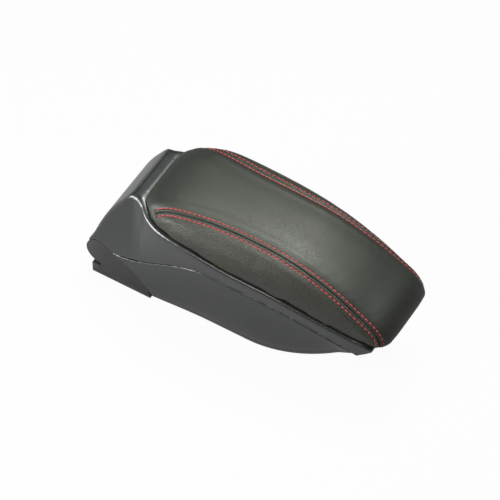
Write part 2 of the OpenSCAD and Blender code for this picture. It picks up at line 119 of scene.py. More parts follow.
def keel_w(x):
    """Half width of the underside."""
    return min(mix(HUB_HW - 2, KEEL_HW, ease(x / 60)), part_w(x) - 2)


def pad_u(x):
    """Place along the pad, from 0 at its rear to 1 at its nose."""
    return clamp((x - PAD_X0) / PAD_L, 0.0, 1.0)


def pad_w(x):
    """Half width of the pad."""
    u = pad_u(x)
    if u < 0.36:
        return PAD_HW * (1 - 0.44 * (1 - u / 0.36) ** 3.6)
    w = 1 - 0.27 * ((u - 0.36) / 0.64) ** 1.6
    return PAD_HW * w * (1 if u < 0.88 else max(0.0, 1 - ((u - 0.88) / 0.12) ** 4) ** 0.25)


def pad_border(x):
    """Height of the pad's lower border."""
    r, m = BORDER_REAR, BORDER_MID
    return curve([(0, r), (0.06, mix(r, m, 0.36)), (0.22, mix(r, m, 0.5)), (0.36, mix(r, m, 0.77)),
                  (0.56, m - 2), (0.75, m - 14), (0.86, m - 21), (0.91, m - 23.5), (0.945, m - 27),
                  (0.975, m - 27), (1, NOSE_Z - 5)], pad_u(x))


def pad_top(x):
    """Height of the pad along its middle."""
    r, c, n = BORDER_REAR, CROWN_Z, NOSE_Z
    return curve([(0, r + 2), (0.02, mix(r, c, 0.36)), (0.05, mix(r, c, 0.63)), (0.09, mix(r, c, 0.79)),
                  (0.157, mix(r, c, 0.93)), (0.31, c), (0.48, c), (0.63, mix(n, c, 0.94)),
                  (0.78, mix(n, c, 0.73)), (0.9, mix(n, c, 0.46)), (0.945, mix(n, c, 0.35)),
                  (0.975, mix(n, c, 0.22)), (1, n)], pad_u(x))


def seam_w(x):
    """Distance of both seams from the middle of the pad."""
    r, m, n = SEAM_REAR, SEAM_MID, SEAM_NOSE
    return curve([(0, r - 9), (0.04, r - 4), (0.08, r - 3.5), (0.157, mix(r, m, 0.5)),
                  (0.31, mix(r, m, 0.88)), (0.48, m), (0.63, mix(m, n, 0.14)), (0.78, mix(m, n, 0.4)),
                  (0.9, mix(m, n, 0.75)), (1, n)], pad_u(x))


def rim_hw(x):
    """Half width of the rim that the pad lies in."""
    beside_pad = pad_w(x) + 5 * (1 - ease((x - PAD_X0) / (0.2 * PAD_L)))
    return max(beside_pad, HUB_HW - 1.5 + 0.03 * (x - REAR_LO[0]))


# Half outlines across the arm, from the middle of the underside to the middle of the top

def quarter(cy, cz, r, a0, a1, steps=6):
    """Points of an arc about (cy, cz); the angles are in degrees from straight down."""
    return [(cy + r * math.sin(math.radians(mix(a0, a1, i / steps))),
             cz - r * math.cos(math.radians(mix(a0, a1, i / steps)))) for i in range(steps + 1)]


def bin_half(x, d=0.0, up=0.0):
    zb = keel_z(x) + d
    zt = max(part_z(x), zb + 0.8)
    wt = max(part_w(x) - d, 1)
    wb = clamp(keel_w(x) - d, 0.6, wt)
    r = min(mix(5, 14, ease((x - 30) / 90)) - 0.6 * d, 0.45 * (zt - zb), wb * 0.8)
    side = [(mix(wb, wt, t ** 0.8), mix(zb + r, zt, t)) for t in np.linspace(0.08, 1, 14)]
    return ([(wb * f, zb) for f in (0, 0.2, 0.4)] + quarter(wb - r, zb + r, r, 0, 90) + side
            + [(wt * f, zt + up) for f in (1 if up else 0.8, 0.5, 0)])


def trim_half(x, d=0.0, down=0.0, open_by=0.0):
    zb = part_z(x) + GAP + (d if x > CHIN_X - 1 else -open_by)
    zt = max(pad_border(x) - down, zb + 0.5)
    wb = part_w(x) - d
    wt = (rim_hw(x) if x < PAD_X0 + 0.5 * PAD_L else pad_w(x)) - d
    wt -= REAR_NARROW * (1 - ease((x - REAR_HI[0] - 1) / 18))
    r = min(mix(7, 2, ease((x - PAD_X0) / 60)), 0.3 * (zt - zb))
    side = [(mix(wb, wt, ease(t) * 0.5 + t * 0.5), mix(zb, zt - r, t)) for t in np.linspace(0, 1, 18)]
    top = [(wt - r + r * math.cos(a), zt - r + r * math.sin(a))
           for a in np.linspace(0.25, math.pi / 2, 6)]
    return [(wb * f, zb) for f in (0, 0.4, 0.8)] + side + top + [(0.5 * (wt - r), zt), (0, zt)]


def pad_half(x, d=0.0):
    w = max(pad_w(x) - d, 0.8)
    zb = pad_border(x) + GAP + (d if x > TRIM_X1 else 0)
    zt = max(pad_top(x) - d, zb + 0.5)
    arc = [(w * math.cos(a) ** (2 / CROWN_N), zb + (zt - zb) * math.sin(a) ** (2 / CROWN_N))
           for a in np.radians(np.linspace(0, 90, 22))[1:-1]]
    return [(w * f, zb) for f in (0, 0.25, 0.5, 0.75, 1)] + arc + [(0, zt)]


# Modelling helpers

def only(obj):
    """Makes obj the one selected and active object."""
    bpy.ops.object.select_all(action="DESELECT")
    obj.select_set(True)
    bpy.context.view_layer.objects.active = obj
    return obj


def apply_modifier(obj, kind, **values):
    mod = obj.modifiers.new(kind.lower(), kind)
    for key, value in values.items():
        setattr(mod, key, value)
    only(obj)
    bpy.ops.object.modifier_apply(modifier=mod.name)
    return obj


def edit(obj, *steps):
    """Runs edit-mode operators on the whole mesh."""
    only(obj)
    bpy.ops.object.mode_set(mode="EDIT")
    bpy.ops.mesh.select_all(action="SELECT")
    for step in steps:
        step()
    bpy.ops.object.mode_set(mode="OBJECT")
    return obj


def settle(obj):
    """Puts the object's place into its mesh."""
    only(obj)
    bpy.ops.object.transform_apply(location=True, rotation=True, scale=True)
    return obj


def smooth(obj, angle):
    only(obj)
    bpy.ops.object.shade_smooth_by_angle(angle=math.radians(angle))
    return obj


def hull_form(name, stations, half):
    """Closed boat-shaped form: a grid wrapped round the arm at each station, its two ends filled."""
    rows = []
    for x in stations:
        h = half(x)
        rows.append([(x, -y, z) for y, z in h] + [(x, y, z) for y, z in h[-2:0:-1]])
    across, along = len(rows[0]), len(rows)
    bpy.ops.object.select_all(action="DESELECT")
    bpy.ops.mesh.primitive_grid_add(x_subdivisions=across, y_subdivisions=along - 1, size=1)
    obj = bpy.context.object
    obj.name = obj.data.name = name
    co = np.array([row + [row[0]] for row in rows], float).reshape(-1, 3)
    co[:, 0] -= FOOT_MID
    obj.data.vertices.foreach_set("co", (co * MM).ravel())
    edit(obj, lambda: bpy.ops.mesh.remove_doubles(threshold=1e-6))
    bm = bmesh.new()
    bm.from_mesh(obj.data)
    bmesh.ops.holes_fill(bm, edges=bm.edges, sides=0)
    bmesh.ops.recalc_face_normals(bm, faces=bm.faces)
    bm.to_mesh(obj.data)
    bm.free()
    return obj


def side_plate(name, outline, y0=-ACROSS, y1=ACROSS):
    """Plate across the arm with a side outline of (x, z) points in millimetres."""
    bpy.ops.object.select_all(action="DESELECT")
    bpy.ops.mesh.primitive_circle_add(vertices=len(outline), fill_type="NGON")
    obj = bpy.context.object
    obj.name = obj.data.name = name
    co = np.array([((x - FOOT_MID) * MM, y0 * MM, z * MM) for x, z in outline], float)
    obj.data.vertices.foreach_set("co", co.ravel())
    across = {"value": (0, (y1 - y0) * MM, 0)}
    return edit(obj, lambda: bpy.ops.mesh.extrude_region_move(TRANSFORM_OT_translate=across),
                lambda: bpy.ops.mesh.select_all(action="SELECT"),
                lambda: bpy.ops.mesh.normals_make_consistent(inside=False))


def carve(obj, tool, operation="DIFFERENCE"):
    """Cuts obj with a tool form and removes the tool."""
    apply_modifier(obj, "BOOLEAN", operation=operation, object=tool, solver="EXACT")
    bpy.data.objects.remove(tool)
    return obj


def arc_points(cx, cz, r, a0, a1, steps):
    return [(cx + r * math.cos(math.radians(mix(a0, a1, i / steps))),
             cz + r * math.sin(math.radians(mix(a0, a1, i / steps)))) for i in range(steps + 1)]


SHARP_ANGLE = 35  # degrees; a sharper edge is eased and stays crisp


def finished_copy(node, name, body, width):
    """Copy of a solid with its doubles merged, its edges eased by width and its curved walls smooth."""
    src = nodes[node]
    obj = bpy.data.objects.new(name, src.data.copy())
    obj.data.name = name
    bpy.context.scene.collection.objects.link(obj)
    edit(obj, lambda: bpy.ops.mesh.remove_doubles(threshold=1e-5),
         lambda: bpy.ops.mesh.customdata_custom_splitnormals_clear())
    if width:
        apply_modifier(obj, "BEVEL", width=width * MM, segments=3, limit_method="ANGLE",
                       angle_limit=math.radians(SHARP_ANGLE), use_clamp_overlap=True)
    smooth(obj, SHARP_ANGLE)
    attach(obj, body)
    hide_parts(node)
    return obj


# Shared surface effects, as node groups with named inputs and outputs

def group(name, inputs, outputs):
    """Empty node group; inputs are (name, default) numbers, outputs are names of numbers."""
    tree = bpy.data.node_groups.new(name, "ShaderNodeTree")
    for label, default in inputs:
        socket = tree.interface.new_socket(label, in_out="INPUT", socket_type="NodeSocketFloat")
        socket.default_value = default
    for label in outputs:
        tree.interface.new_socket(label, in_out="OUTPUT", socket_type="NodeSocketFloat")
    return tree, tree.nodes.new("NodeGroupInput"), tree.nodes.new("NodeGroupOutput")


def math_node(tree, operation, a, b=None, clamped=False):
    n = tree.nodes.new("ShaderNodeMath")
    n.operation = operation
    n.use_clamp = clamped
    for socket, value in zip(n.inputs, (a, b)):
        if value is None:
            continue
        if isinstance(value, (int, float)):
            socket.default_value = value
        else:
            tree.links.new(value, socket)
    return n.outputs[0]


def ranged(tree, value, lo, hi, to_lo=0.0, to_hi=1.0):
    n = tree.nodes.new("ShaderNodeMapRange")
    tree.links.new(value, n.inputs["Value"])
    for label, v in (("From Min", lo), ("From Max", hi), ("To Min", to_lo), ("To Max", to_hi)):
        n.inputs[label].default_value = v
    return n.outputs["Result"]


def noise(tree, vector, scale, detail=3.0, rough=0.55):
    n = tree.nodes.new("ShaderNodeTexNoise")
    n.inputs["Detail"].default_value = detail
    n.inputs["Roughness"].default_value = rough
    if isinstance(scale, (int, float)):
        n.inputs["Scale"].default_value = scale
    else:
        tree.links.new(scale, n.inputs["Scale"])
    tree.links.new(vector, n.inputs["Vector"])
    return n.outputs["Fac"]


def pebble_group():
    """Leather grain: rounded pebbles with creases between them, broken up by fine wrinkles."""
    tree, gin, gout = group("pebble_grain", [("Pebbles per metre", 900.0), ("Wrinkle", 0.25)],
                            ["Height", "Crease"])
    place = tree.nodes.new("ShaderNodeTexCoord").outputs["Object"]
    drift = tree.nodes.new("ShaderNodeTexNoise")
    drift.inputs["Scale"].default_value = 260.0
    tree.links.new(place, drift.inputs["Vector"])
    bend = tree.nodes.new("ShaderNodeVectorMath")
    bend.operation = "MULTIPLY_ADD"
    tree.links.new(drift.outputs["Color"], bend.inputs[0])
    bend.inputs[1].default_value = (0.0011, 0.0011, 0.0011)
    tree.links.new(place, bend.inputs[2])
    cell = tree.nodes.new("ShaderNodeTexVoronoi")
    cell.feature = "DISTANCE_TO_EDGE"
    tree.links.new(gin.outputs[0], cell.inputs["Scale"])
    tree.links.new(bend.outputs[0], cell.inputs["Vector"])
    edge = ranged(tree, cell.outputs["Distance"], 0.0, 0.22)
    fine = noise(tree, place, 2600.0, 2.0)
    dome = math_node(tree, "POWER", edge, 0.6)
    wrinkled = math_node(tree, "MULTIPLY", fine, gin.outputs[1])
    tree.links.new(math_node(tree, "ADD", dome, wrinkled), gout.inputs["Height"])
    tree.links.new(math_node(tree, "SUBTRACT", 1.0, edge, True), gout.inputs["Crease"])
    return tree


def grain_group():
    """Fine moulded or cast grain, with a slow cloudiness."""
    tree, gin, gout = group("moulded_grain", [("Grains per metre", 2200.0), ("Cloudiness", 0.3)],
                            ["Height", "Cloud"])
    place = tree.nodes.new("ShaderNodeTexCoord").outputs["Object"]
    tree.links.new(noise(tree, place, gin.outputs[0], 2.0), gout.inputs["Height"])
    slow = noise(tree, place, 22.0, 4.0)
    even = math_node(tree, "SUBTRACT", slow, 0.5)
    tree.links.new(math_node(tree, "MULTIPLY", even, gin.outputs[1]), gout.inputs["Cloud"])
    return tree


def wear_group():
    """Edges that hands have rubbed, from how sharply the surface turns."""
    tree, gin, gout = group("rubbed_edges", [("Amount", 0.5)], ["Mask"])
    place = tree.nodes.new("ShaderNodeTexCoord").outputs["Object"]
    turn = tree.nodes.new("ShaderNodeNewGeometry").outputs["Pointiness"]
    edge = ranged(tree, turn, 0.515, 0.58)
    patchy = ranged(tree, noise(tree, place, 120.0, 5.0), 0.42, 0.66)
    both = math_node(tree, "MULTIPLY", edge, patchy, True)
    tree.links.new(math_node(tree, "MULTIPLY", both, gin.outputs[0], True), gout.inputs["Mask"])
    return tree


def dust_group():
    """Thin dust that gathers on what faces up."""
    tree, gin, gout = group("settled_dust", [("Amount", 0.1)], ["Mask"])
    place = tree.nodes.new("ShaderNodeTexCoord").outputs["Object"]
    up = tree.nodes.new("ShaderNodeSeparateXYZ")
    tree.links.new(tree.nodes.new("ShaderNodeNewGeometry").outputs["Normal"], up.inputs[0])
    facing = ranged(tree, up.outputs["Z"], 0.2, 1.0)
    motes = ranged(tree, noise(tree, place, 380.0, 6.0, 0.7), 0.5, 0.75)
    both = math_node(tree, "MULTIPLY", facing, motes, True)
    tree.links.new(math_node(tree, "MULTIPLY", both, gin.outputs[0], True), gout.inputs["Mask"])
    return tree


PEBBLE, GRAIN, WEAR, DUST = pebble_group(), grain_group(), wear_group(), dust_group()


class Finish:
    """A material with its shader and a few short ways to feed it."""

    def __init__(self, name, metallic=0.0, specular=0.5):
        self.mat = bpy.data.materials.new(name)
        self.mat.use_nodes = True
        self.tree = self.mat.node_tree
        self.shader = self.tree.nodes["Principled BSDF"]
        self.shader.inputs["Metallic"].default_value = metallic
        self.shader.inputs["Specular IOR Level"].default_value = specular

    def add(self, tree, **values):
        n = self.tree.nodes.new("ShaderNodeGroup")
        n.node_tree = tree
        for label, v in values.items():
            n.inputs[label.replace("_", " ")].default_value = v
        return n.outputs

    def place(self):
        return self.tree.nodes.new("ShaderNodeTexCoord").outputs["Object"]

    def blend(self, mask, a, b):
        n = self.tree.nodes.new("ShaderNodeMix")
        n.data_type = "RGBA"
        self.tree.links.new(mask, n.inputs["Factor"])
        for socket, value in ((n.inputs["A"], a), (n.inputs["B"], b)):
            if isinstance(value, tuple):
                socket.default_value = (*value, 1.0)
            else:
                self.tree.links.new(value, socket)
        return n.outputs["Result"]

    def colour(self, value):
        self.tree.links.new(value, self.shader.inputs["Base Color"])

    def rough(self, value):
        self.tree.links.new(value, self.shader.inputs["Roughness"])

    def relief(self, height, depth):
        n = self.tree.nodes.new("ShaderNodeBump")
        n.inputs["Distance"].default_value = depth
        n.inputs["Strength"].default_value = 1.0
        self.tree.links.new(height, n.inputs["Height"])
        self.tree.links.new(n.outputs["Normal"], self.shader.inputs["Normal"])


def shade(colour, factor, lift=0.0):
    """The colour made darker or lighter by a factor, and raised by an even amount."""
    return tuple(min(1.0, c * factor + lift) for c in colour)


DUST_COLOUR = (0.42, 0.41, 0.38)


def moulded(name, colour, rough, grains=2200.0, depth=0.000015, rubbed=0.3, dusty=0.05):
    """Moulded plastic: even body colour, fine grain, rubbed edges and a little dust."""
    f = Finish(name)
    grain = f.add(GRAIN, Grains_per_metre=grains, Cloudiness=0.35)
    body = f.blend(ranged(f.tree, grain["Cloud"], -0.12, 0.12), shade(colour, 0.82), shade(colour, 1.18))
    worn = f.blend(f.add(WEAR, Amount=rubbed)["Mask"], body, shade(colour, 2.2, 0.02))
    f.colour(f.blend(f.add(DUST, Amount=dusty)["Mask"], worn, DUST_COLOUR))
    f.rough(ranged(f.tree, grain["Cloud"], -0.15, 0.15, rough - 0.05, rough + 0.05))
    f.relief(grain["Height"], depth)
    return f.mat


def metal(name, colour, rough, grains=700.0, depth=0.00003, metallic=1.0, rubbed=0.6):
    """Metal: turned, cast or coated, by its grain and how bright its rubbed edges are."""
    f = Finish(name, metallic)
    grain = f.add(GRAIN, Grains_per_metre=grains, Cloudiness=0.5)
    body = f.blend(ranged(f.tree, grain["Cloud"], -0.2, 0.2), shade(colour, 0.8), colour)
    f.colour(f.blend(f.add(WEAR, Amount=rubbed)["Mask"], body, shade(colour, 1.5, 0.06)))
    f.rough(ranged(f.tree, grain["Cloud"], -0.25, 0.25, rough - 0.08, rough + 0.08))
    f.relief(grain["Height"], depth)
    return f.mat


def leather(name, colour, pebbles, depth, rough):
    """Dyed leather with pebble grain: dull and rougher in its creases, which painted shade darkens, a
    little polished on the pebbles.
    """
    f = Finish(name)
    f.shader.inputs["Specular Tint"].default_value = (0.96, 1.0, 0.88, 1.0)
    grain = f.add(PEBBLE, Pebbles_per_metre=pebbles, Wrinkle=0.3)
    slow = noise(f.tree, f.place(), 30.0, 4.0)
    hide = f.blend(ranged(f.tree, slow, 0.35, 0.65), shade(colour, 0.85), shade(colour, 1.15))
    # painted shade: the creases between the pebbles are darkened towards a third of the leather's colour
    painted_crease_shade = math_node(f.tree, "MULTIPLY", grain["Crease"], 0.55)
    f.colour(f.blend(painted_crease_shade, hide, shade(colour, 0.35)))
    f.rough(ranged(f.tree, grain["Crease"], 0.0, 1.0, rough, rough + 0.2))
    f.relief(grain["Height"], depth)
    return f.mat


def thread(name, colour):
    """Twisted sewing thread: its plies show as fine slanting ridges."""
    f = Finish(name, 0.0, 0.3)
    wave = f.tree.nodes.new("ShaderNodeTexWave")
    wave.bands_direction = "DIAGONAL"
    wave.inputs["Scale"].default_value = 700.0
    wave.inputs["Distortion"].default_value = 1.5
    f.tree.links.new(f.place(), wave.inputs["Vector"])
    # painted shade: the grooves between the plies are darker than the thread's own colour
    f.colour(f.blend(wave.outputs["Fac"], shade(colour, 0.6), colour))
    f.rough(ranged(f.tree, wave.outputs["Fac"], 0.0, 1.0, 0.7, 0.5))
    f.relief(wave.outputs["Fac"], 0.0001)
    return f.mat


def open_foam(name, colour):
    """Foam with open cells."""
    f = Finish(name, 0.0, 0.2)
    cells = f.tree.nodes.new("ShaderNodeTexVoronoi")
    cells.inputs["Scale"].default_value = 1300.0
    f.tree.links.new(f.place(), cells.inputs["Vector"])
    # painted shade: the hollow middles of the open cells are darker than the foam's own colour
    f.colour(f.blend(cells.outputs["Distance"], shade(colour, 0.6), colour))
    f.rough(ranged(f.tree, cells.outputs["Distance"], 0.0, 1.0, 0.85, 1.0))
    f.relief(cells.outputs["Distance"], 0.0004)
    return f.mat


def fibre_board(name, colour):
    """Board pressed from fibres that lie along it."""
    f = Finish(name, 0.0, 0.3)
    spread = f.tree.nodes.new("ShaderNodeMapping")
    spread.inputs["Scale"].default_value = (1.0, 3.0, 8.0)
    f.tree.links.new(f.place(), spread.inputs["Vector"])
    chips = noise(f.tree, spread.outputs["Vector"], 240.0, 6.0, 0.7)
    f.colour(f.blend(ranged(f.tree, chips, 0.35, 0.7), shade(colour, 0.65), colour))
    f.rough(ranged(f.tree, chips, 0.3, 0.7, 0.75, 0.9))
    f.relief(chips, 0.0002)
    return f.mat


trim_plastic = moulded("trim_satin_black", (0.012, 0.0138, 0.013), 0.34, rubbed=0.15, dusty=0.02)
bin_plastic = moulded("bin_satin_black", (0.010, 0.0115, 0.011), 0.36, rubbed=0.15, dusty=0.02)
foot_plastic = moulded("foot_grained_black", (0.010, 0.011, 0.010), 0.5, 1500.0, 0.00008, 0.25)
liner_plastic = moulded("liner_grained_black", (0.016, 0.016, 0.016), 0.6, 1100.0, 0.00012, 0.2)
mat_rubber = moulded("ribbed_rubber", (0.012, 0.012, 0.012), 0.8, 800.0, 0.0002, 0.1, 0.15)
coated_steel = metal("black_coated_steel", (0.03, 0.03, 0.032), 0.45, 1600.0, 0.00004, 0.0, 0.5)
bright_steel = metal("plated_steel", (0.6, 0.6, 0.62), 0.28, 1900.0, 0.00001)
cast_alloy = metal("cast_alloy", (0.42, 0.43, 0.44), 0.5, 900.0, 0.00012)
bronze = metal("sintered_bronze", (0.42, 0.3, 0.14), 0.42, 2400.0, 0.00003)
centre_leather = leather("centre_leather", (0.0125, 0.0135, 0.0115), 950.0, 0.00004, 0.46)
side_leather = leather("side_leather", (0.0135, 0.014, 0.0105), 520.0, 0.00016, 0.42)
red_thread = thread("red_thread", (0.36, 0.045, 0.045))
pale_foam = open_foam("pale_foam", (0.5, 0.46, 0.34))
board = fibre_board("fibre_board", (0.34, 0.24, 0.14))

CAD_FINISH = {
    "base_bracket": coated_steel, "pivot_shaft": bright_steel, "friction_washers": bronze,
    "hinge_arm": cast_alloy, "bin_mat": mat_rubber, "arm_screws": bright_steel, "striker": bright_steel,
    "lid_hinge": coated_steel, "hinge_screws": bright_steel, "pad_board": board, "pad_foam": pale_foam,
    "latch_housing": liner_plastic, "latch_pin": bright_steel, "latch_springs": bright_steel,
    "lid_board": liner_plastic, "bin_liner": liner_plastic, "base_cover": foot_plastic,
    "bin_shell": bin_plastic, "lid_trim": trim_plastic, "latch_lever": trim_plastic,
    "cover_centre": centre_leather, "cover_left": side_leather, "cover_right": side_leather,
}


def finish(obj, *materials):
    obj.data.materials.clear()
    for m in materials:
        obj.data.materials.append(m)
    return obj


for cad_name, cad_material in CAD_FINISH.items():
    finish(nodes[cad_name], cad_material)


# Moulded shells

def rounded(obj, voxel, passes, soft=None, soft_passes=0):
    """Rebuilds a shell at an even fineness and eases its edges; soft picks points to ease further."""
    apply_modifier(obj, "REMESH", mode="VOXEL", voxel_size=voxel * MM)
    apply_modifier(obj, "SMOOTH", factor=0.5, iterations=passes)
    if soft:
        near = obj.vertex_groups.new(name="soft")
        picked = [v.index for v in obj.data.vertices
                  if soft(v.co.x / MM + FOOT_MID, v.co.y / MM, v.co.z / MM)]
        near.add(picked, 1.0, "REPLACE")
        apply_modifier(obj, "SMOOTH", factor=0.5, iterations=soft_passes, vertex_group="soft")
        obj.vertex_groups.clear()
    return smooth(obj, 60)


REAR_V = Vector((REAR_HI[0] - REAR_LO[0], REAR_HI[1] - REAR_LO[1]))
REAR_N = Vector((REAR_V.y, -REAR_V.x)).normalized()


def ahead_outline(d=0.0, r=8.0):
    """Side outline of all that lies ahead of the sloping rear panel, moved inwards by d."""
    ox, oz = REAR_N * d
    low = (REAR_LO[0] - 3 * REAR_V.x, REAR_LO[1] - 3 * REAR_V.y)
    lean = math.degrees(math.atan2(-REAR_N.y, -REAR_N.x))
    arc = arc_points(REAR_HI[0] + 0.62 * r, REAR_HI[1] - r, r, lean, 90, 8)
    slope = []
    for t in np.linspace(0, 0.93, 16):
        out = REAR_BOW * math.sin(math.pi * t)
        slope.append((REAR_LO[0] + t * REAR_V.x - out * REAR_N.x,
                      REAR_LO[1] + t * REAR_V.y - out * REAR_N.y))
    return [(x + ox, z + oz) for x, z in [(500, -320), low, *slope, *arc[1:], (500, REAR_HI[1])]]


def disc(cx, cz, r, steps=96):
    return arc_points(cx, cz, r, 0, 360 - 360 / steps, steps - 1)


def box_outline(x0, x1, z0, z1):
    return [(x0, z0), (x1, z0), (x1, z1), (x0, z1)]


def trim_shell():
    xs = np.concatenate([np.linspace(-16, PAD_X0, 26), np.linspace(PAD_X0, CHIN_X - 1.1, 72)[1:],
                         np.linspace(CHIN_X, TRIM_X1, 7)])
    obj = hull_form("lid_trim_moulding", xs, trim_half)
    carve(obj, side_plate("rear_slope", ahead_outline()), "INTERSECT")
    inner_xs = [x for x in xs if x < TRIM_X1 - 3]
    inner = hull_form("trim_hollow", inner_xs, lambda x: trim_half(x, WALL, WALL, 8))
    carve(inner, side_plate("rear_hollow", ahead_outline(WALL)), "INTERSECT")
    carve(obj, inner)
    carve(obj, side_plate("hub_room", disc(0, PIVOT_Z, HUB_R + GAP)))
    notch = box_outline(CHIN_X + 1.5, CHIN_X + 41.5, 60, 120)
    carve(obj, side_plate("lever_notch", notch, -LEVER_W / 2 - 1, LEVER_W / 2 + 1))

    def crease(x, y, z):
        return x < PAD_X0 + 2 and math.hypot(x, z - PIVOT_Z) > 27 and abs(y) > 22

    rounded(obj, 1.05, 7, crease, 18)
    return finish(obj, trim_plastic)


def bin_form():
    xs = np.concatenate([np.linspace(-14, 60, 26), np.linspace(60, CHIN_X - 1.2, 66)[1:]])
    obj = hull_form("bin_moulding", xs, bin_half)
    inner = hull_form("bin_hollow", [x for x in xs if x < CHIN_X - 6], lambda x: bin_half(x, WALL, 6))
    carve(inner, side_plate("foot_wall", disc(*FOOT_C, FOOT_R + GAP + WALL, 128)))
    carve(inner, side_plate("hub_wall", disc(0, PIVOT_Z, HUB_R + GAP + WALL)))
    carve(obj, inner)
    carve(obj, side_plate("foot_room", disc(*FOOT_C, FOOT_R + GAP, 128)))
    carve(obj, side_plate("hub_room", disc(0, PIVOT_Z, HUB_R + GAP)))
    carve(obj, side_plate("behind", box_outline(-50, 2, -10, 190)))
    window = box_outline(-1, 68, PIVOT_Z - 13, PIVOT_Z + 6.5)
    carve(obj, side_plate("arm_window", window, -ARM_HALF, ARM_HALF))
    strap_room = box_outline(-1, 26, PIVOT_Z, PIVOT_Z + 20)
    carve(obj, side_plate("strap_window", strap_room, -STRAP_HALF, STRAP_HALF))
    rounded(obj, 1.3, 6)
    return finish(obj, bin_plastic)


lid_trim = trim_shell()
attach(lid_trim, "lid")
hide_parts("lid_trim")
bin_moulding = bin_form()
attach(bin_moulding, "bin")
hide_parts("bin_shell")

for node, name, body, slot, width, material in (
        ("base_cover", "foot_cover", "foot", "foot_plastic", 0.7, foot_plastic),
        ("bin_liner", "inner_bin", "bin", "liner_plastic", 0, liner_plastic),
        ("lid_board", "lid_panel", "lid", "liner_plastic", 0, liner_plastic),
        ("latch_lever", "release_lever", "lever", "trim_plastic", 0.4, trim_plastic),
        ("lid_hinge", "lid_hinge_bracket", "lid", "bracket_steel", 0.3, coated_steel),
        ("hinge_arm", "swing_arm", "bin", "cast_alloy", 0.5, cast_alloy)):
    finish(finished_copy(node, name, body, width), material)


# The padded leather

SWELL = 2.0  # furthest that a point of the pad moves as it fills
SEAM_ROW = 3.5  # from the seam to each row of stitches
STITCH_PITCH, STITCH_LONG, STITCH_THICK = 4.9, 4.2, 1.25
PAD_VOXEL = 4.5  # fineness of the pad before it is filled
FILL_FRAMES = 20
FAR_OFF = 1e3  # millimetres, for points that no seam is near
# The leather beside a seam: height of each swell or dent, its distance from the seam and its breadth
SEAM_FORMS = ((-1.5, 0.0, 0.55), (0.45, 1.8, 1.1), (-0.4, SEAM_ROW, 0.8), (0.6, 9.0, 4.0))


def filled(obj):
    """Blows the pad up as cloth under pressure, held along its flat underside, and caps the movement."""
    rest = np.array([v.co for v in obj.data.vertices])
    held = obj.vertex_groups.new(name="held")
    low = [i for i, (x, _, z) in enumerate(rest) if x / MM + FOOT_MID < TRIM_X1
           and z / MM < pad_border(x / MM + FOOT_MID) + GAP + 1.6]
    held.add(low, 1.0, "REPLACE")
    cloth = obj.modifiers.new("fill", "CLOTH")
    cloth.settings.quality = 6
    cloth.settings.mass = 0.3
    cloth.settings.use_pressure = True
    cloth.settings.uniform_pressure_force = 4.0
    cloth.settings.effector_weights.gravity = 0.0
    cloth.settings.vertex_group_mass = "held"
    scene = bpy.context.scene
    for f in range(1, FILL_FRAMES + 1):
        scene.frame_set(f)
    shaped = obj.evaluated_get(bpy.context.evaluated_depsgraph_get())
    now = np.array([v.co for v in shaped.data.vertices])
    obj.modifiers.remove(cloth)
    scene.frame_set(1)
    obj.vertex_groups.clear()
    move = now - rest
    far = np.linalg.norm(move, axis=1, keepdims=True)
    move *= np.minimum(1.0, SWELL * MM / np.maximum(far, 1e-9))
    obj.data.vertices.foreach_set("co", (rest + move).ravel())
    obj.data.update()
    return obj


def seam_path(surface, side):
    """Points and normals of the seam on one side, from the pad's rear over the top and down the nose."""
    path = []
    for x in np.arange(PAD_X0, NOSE_X, 1.0):
        start = Vector(((x - FOOT_MID) * MM, side * seam_w(x) * MM, 0.3))
        hit, normal, _, _ = surface.ray_cast(start, Vector((0, 0, -1)))
        if hit and hit.z / MM > pad_border(x) + 3 and normal.z > 0.3:
            path.append((hit, normal))
    last = path[-1][0]
    for z in np.arange(last.z / MM - 1, NOSE_Z - 14, -1.0):
        hit, normal, _, _ = surface.ray_cast(Vector((0.5, last.y, z * MM)), Vector((-1, 0, 0)))
        if hit and (hit - path[-1][0]).length < 0.004:
            path.append((hit, normal))
    return path


def finer_near(obj, paths, reach):
    """Divides the faces within reach millimetres of the seams once more."""
    only(obj)
    bpy.ops.object.mode_set(mode="EDIT")
    bpy.ops.mesh.select_all(action="DESELECT")
    bpy.ops.object.mode_set(mode="OBJECT")
    middle = np.array([f.center for f in obj.data.polygons])
    near = np.full(len(middle), FAR_OFF)
    for path in paths.values():
        near = np.minimum(near, distance_to(middle, path))
    obj.data.polygons.foreach_set("select", near < reach)
    bpy.ops.object.mode_set(mode="EDIT")
    bpy.ops.mesh.select_mode(type="FACE")
    bpy.ops.mesh.subdivide(number_cuts=1, smoothness=0.0)
    bpy.ops.object.mode_set(mode="OBJECT")


def distance_to(points, path):
    """Distance in millimetres from each point to the nearest point of a path."""
    line = np.array([p for p, _ in path])
    out = np.empty(len(points))
    for k in range(0, len(points), 4000):
        part = points[k:k + 4000]
        out[k:k + 4000] = np.sqrt(((part[:, None] - line[None]) ** 2).sum(2)).min(1) / MM
    return out


def seam_relief(s):
    """Height of the leather at s millimetres from the seam: valley, lips, stitch dents and shoulder."""
    a = np.abs(s)
    return sum(height * np.exp(-((a - middle) / breadth) ** 2) for height, middle, breadth in SEAM_FORMS)


